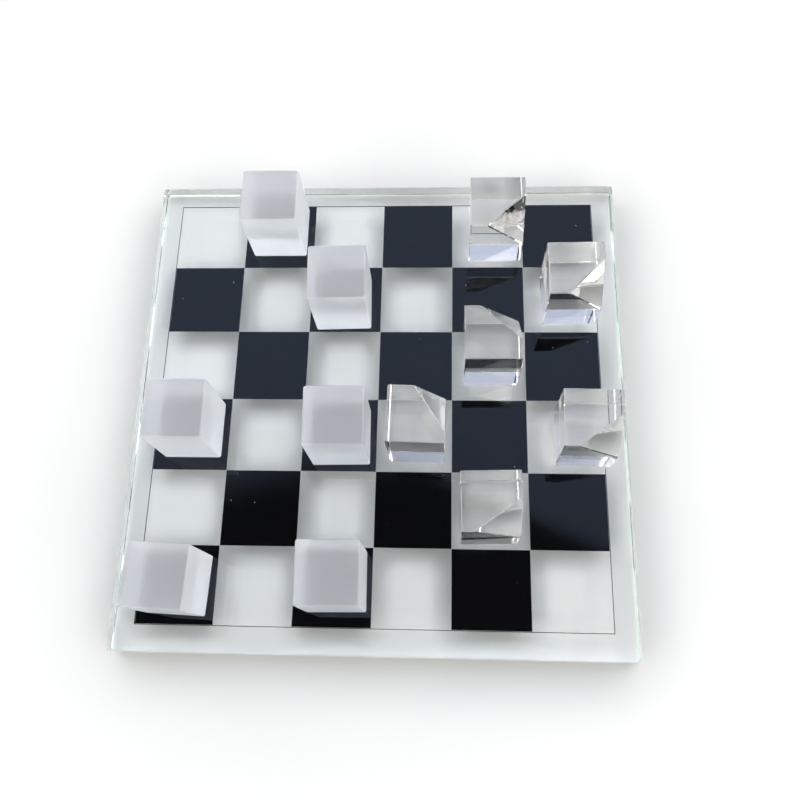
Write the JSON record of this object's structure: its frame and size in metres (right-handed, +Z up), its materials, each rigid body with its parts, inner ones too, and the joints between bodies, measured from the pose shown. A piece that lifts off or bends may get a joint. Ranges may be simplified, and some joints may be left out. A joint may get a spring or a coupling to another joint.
{
  "type": "chequered board game set",
  "caption": "Square crystal board with a chequered field of glossy black squares, and frosted and corner-cut clear crystal block pieces that lift off it.",
  "frame": {"origin": "centre of the slab's underside, on the surface it rests on", "axes": "+Z up, +X to the right along the near edge, +Y away from the player at the near edge; the corner square towards -X and -Y is dark"},
  "size_m": [0.2, 0.2, 0.042],
  "materials": {
    "slab_crystal": "polished optical crystal with a faint green edge",
    "black_enamel": "glossy black enamel, flush with the slab",
    "frosted_crystal": "satin, sandblasted on every face",
    "clear_crystal": "polished, with fine arrises and one cut corner"
  },
  "bodies": {
    "board": {"slab": "slab_crystal", "border_line": "black_enamel", "dark_square_a1": "black_enamel", "dark_square_a3": "black_enamel", "dark_square_a5": "black_enamel", "dark_square_b2": "black_enamel", "dark_square_b4": "black_enamel", "dark_square_b6": "black_enamel", "dark_square_c1": "black_enamel", "dark_square_c3": "black_enamel", "dark_square_c5": "black_enamel", "dark_square_d2": "black_enamel", "dark_square_d4": "black_enamel", "dark_square_d6": "black_enamel", "dark_square_e1": "black_enamel", "dark_square_e3": "black_enamel", "dark_square_e5": "black_enamel", "dark_square_f2": "black_enamel", "dark_square_f4": "black_enamel", "dark_square_f6": "black_enamel"},
    "frosted_piece_1": {"frosted_piece_1": "frosted_crystal"},
    "frosted_piece_2": {"frosted_piece_2": "frosted_crystal"},
    "frosted_piece_3": {"frosted_piece_3": "frosted_crystal"},
    "frosted_piece_4": {"frosted_piece_4": "frosted_crystal"},
    "frosted_piece_5": {"frosted_piece_5": "frosted_crystal"},
    "frosted_piece_6": {"frosted_piece_6": "frosted_crystal"},
    "clear_piece_1": {"clear_piece_1": "clear_crystal"},
    "clear_piece_2": {"clear_piece_2": "clear_crystal"},
    "clear_piece_3": {"clear_piece_3": "clear_crystal"},
    "clear_piece_4": {"clear_piece_4": "clear_crystal"},
    "clear_piece_5": {"clear_piece_5": "clear_crystal"},
    "clear_piece_6": {"clear_piece_6": "clear_crystal"}
  },
  "joints": [
    {"name": "frosted_piece_1_lift", "type": "slide", "parent": "board", "child": "frosted_piece_1", "axis": [0, 0, 1], "range_m": [0, 0.035]},
    {"name": "frosted_piece_2_lift", "type": "slide", "parent": "board", "child": "frosted_piece_2", "axis": [0, 0, 1], "range_m": [0, 0.035]},
    {"name": "frosted_piece_3_lift", "type": "slide", "parent": "board", "child": "frosted_piece_3", "axis": [0, 0, 1], "range_m": [0, 0.035]},
    {"name": "frosted_piece_4_lift", "type": "slide", "parent": "board", "child": "frosted_piece_4", "axis": [0, 0, 1], "range_m": [0, 0.035]},
    {"name": "frosted_piece_5_lift", "type": "slide", "parent": "board", "child": "frosted_piece_5", "axis": [0, 0, 1], "range_m": [0, 0.035]},
    {"name": "frosted_piece_6_lift", "type": "slide", "parent": "board", "child": "frosted_piece_6", "axis": [0, 0, 1], "range_m": [0, 0.035]},
    {"name": "clear_piece_1_lift", "type": "slide", "parent": "board", "child": "clear_piece_1", "axis": [0, 0, 1], "range_m": [0, 0.035]},
    {"name": "clear_piece_2_lift", "type": "slide", "parent": "board", "child": "clear_piece_2", "axis": [0, 0, 1], "range_m": [0, 0.035]},
    {"name": "clear_piece_3_lift", "type": "slide", "parent": "board", "child": "clear_piece_3", "axis": [0, 0, 1], "range_m": [0, 0.035]},
    {"name": "clear_piece_4_lift", "type": "slide", "parent": "board", "child": "clear_piece_4", "axis": [0, 0, 1], "range_m": [0, 0.035]},
    {"name": "clear_piece_5_lift", "type": "slide", "parent": "board", "child": "clear_piece_5", "axis": [0, 0, 1], "range_m": [0, 0.035]},
    {"name": "clear_piece_6_lift", "type": "slide", "parent": "board", "child": "clear_piece_6", "axis": [0, 0, 1], "range_m": [0, 0.035]}
  ]
}
